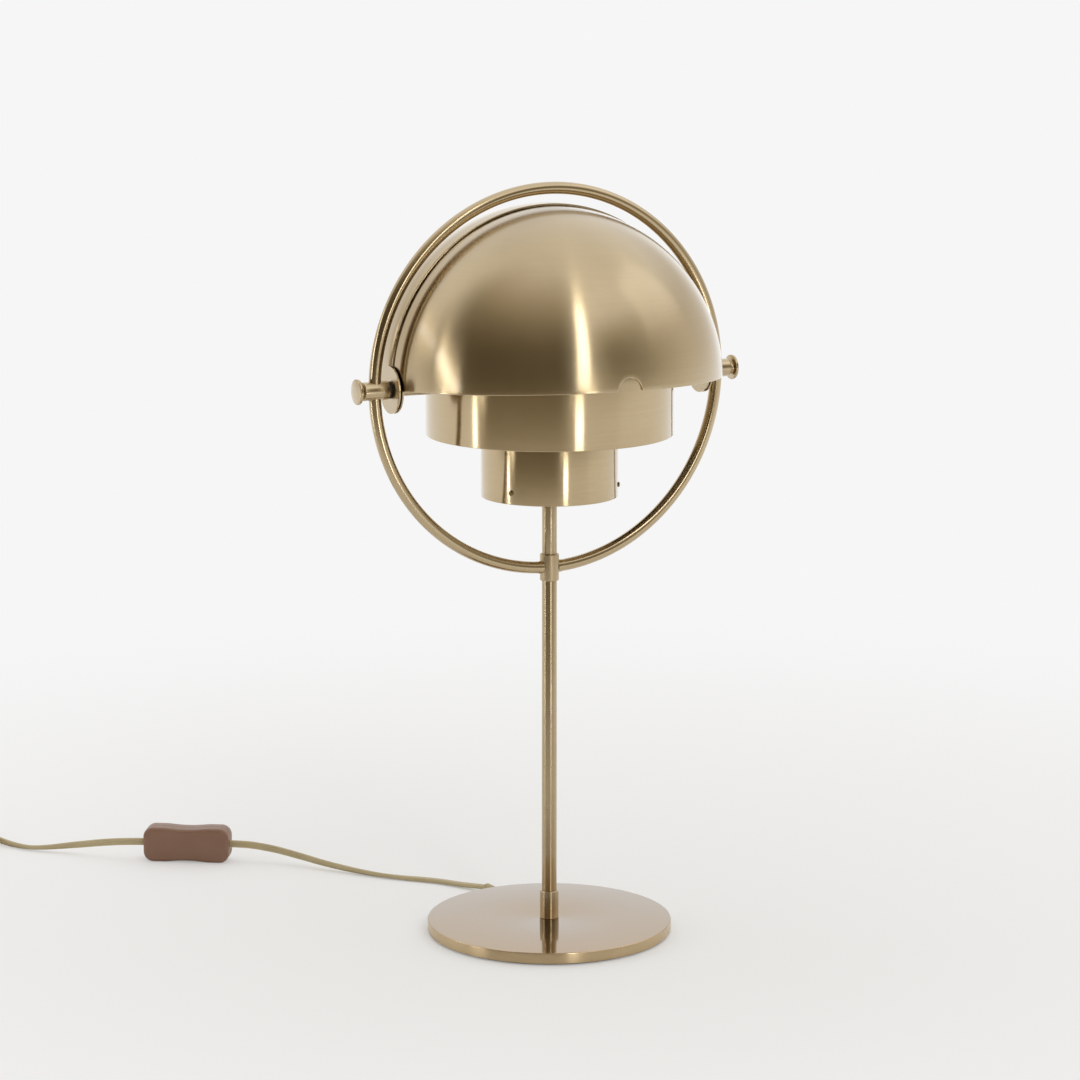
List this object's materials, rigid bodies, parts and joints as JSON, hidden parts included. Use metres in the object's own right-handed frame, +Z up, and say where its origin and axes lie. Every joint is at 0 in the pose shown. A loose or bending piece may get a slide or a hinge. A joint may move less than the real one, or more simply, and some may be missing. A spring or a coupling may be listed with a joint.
{
  "type": "table lamp",
  "caption": "Table lamp with two turning quarter-sphere shades in a standing ring, round a drum on a slim stem, with a disc base, a flat lead, a cord switch and a plug.",
  "frame": {"origin": "middle of the base's underside, on the surface the lamp stands on", "axes": "+X along the shades' pivot axis, -Y to the front, +Z up the stem"},
  "size_m": [0.4987, 0.5336, 0.5],
  "materials": {
    "brass_brushed": "finely brushed and lacquered brass",
    "brass_polished": "spun brass, semi-polished with faint circular brushing, lacquered",
    "brass_dark": "small turned brass screws",
    "contact_brass": "stamped spring brass",
    "zinc_steel": "zinc-plated steel",
    "felt_pad": "black felt",
    "washer_fibre": "black fibre",
    "holder_black": "black thermoset plastic",
    "bulb_insulator": "black glass insulator",
    "bulb_cap_metal": "rolled aluminium screw cap",
    "opal_glass": "opal glass",
    "cord_tan": "smooth beige-gold sheath",
    "wire_sheath": "insulated single wires",
    "switch_brown": "moulded brown plastic, fine satin texture",
    "rocker_brown": "moulded brown plastic",
    "tie_black": "thin rubber band",
    "pin_nickel": "nickel-plated brass"
  },
  "bodies": {
    "stand": {"base_plate": "brass_brushed", "base_pad": "felt_pad", "stem_socket": "brass_brushed", "base_nut": "zinc_steel", "stem_lower": "brass_brushed", "ring_collar": "brass_brushed", "stem_upper": "brass_brushed", "ring_tube": "brass_brushed", "barrel_left": "brass_brushed", "barrel_right": "brass_brushed", "pivot_screw_left": "brass_brushed", "pivot_screw_right": "brass_brushed", "outer_washers": "washer_fibre", "middle_washers": "washer_fibre", "inner_washers": "washer_fibre", "pivot_spacers": "brass_brushed", "pivot_nuts": "zinc_steel", "drum": "brass_brushed", "sleeve": "brass_brushed", "drum_carrier": "zinc_steel", "holder_cup": "brass_brushed", "sleeve_screws": "brass_dark", "holder_nuts": "zinc_steel", "lamp_holder": "holder_black", "holder_contact": "contact_brass", "bulb_tip": "bulb_insulator", "bulb_cap": "bulb_cap_metal", "bulb_globe": "opal_glass", "cord_relief": "cord_tan", "cord_tail": "cord_tan", "cord_clamp": "zinc_steel", "clamp_screws": "zinc_steel", "inner_wires": "wire_sheath", "switch_near_case": "switch_brown", "switch_far_case": "switch_brown", "switch_terminals": "contact_brass", "switch_screws": "zinc_steel", "cord_lamp": "cord_tan", "cord_mains": "cord_tan", "cord_coil": "cord_tan", "coil_tie": "tie_black", "cord_plug_end": "cord_tan", "plug_relief": "switch_brown", "plug_body": "switch_brown", "plug_pins": "pin_nickel"},
    "front_shade": {"front_shade": "brass_polished"},
    "rear_shade": {"rear_shade": "brass_polished"},
    "switch_rocker": {"switch_rocker": "rocker_brown"}
  },
  "joints": [
    {"name": "front_shade_turn", "type": "hinge", "parent": "stand", "child": "front_shade", "pos_m": [0, 0, 0.3717], "axis": [1, 0, 0], "range_deg": [-172, 93]},
    {"name": "rear_shade_turn", "type": "hinge", "parent": "stand", "child": "rear_shade", "pos_m": [0, 0, 0.3717], "axis": [1, 0, 0], "range_deg": [-90, 175]},
    {"name": "switch_rock", "type": "hinge", "parent": "stand", "child": "switch_rocker", "pos_m": [-0.15308, 0.27266, 0.0125], "axis": [0, 0, 1], "range_deg": [-12, 0]}
  ]
}
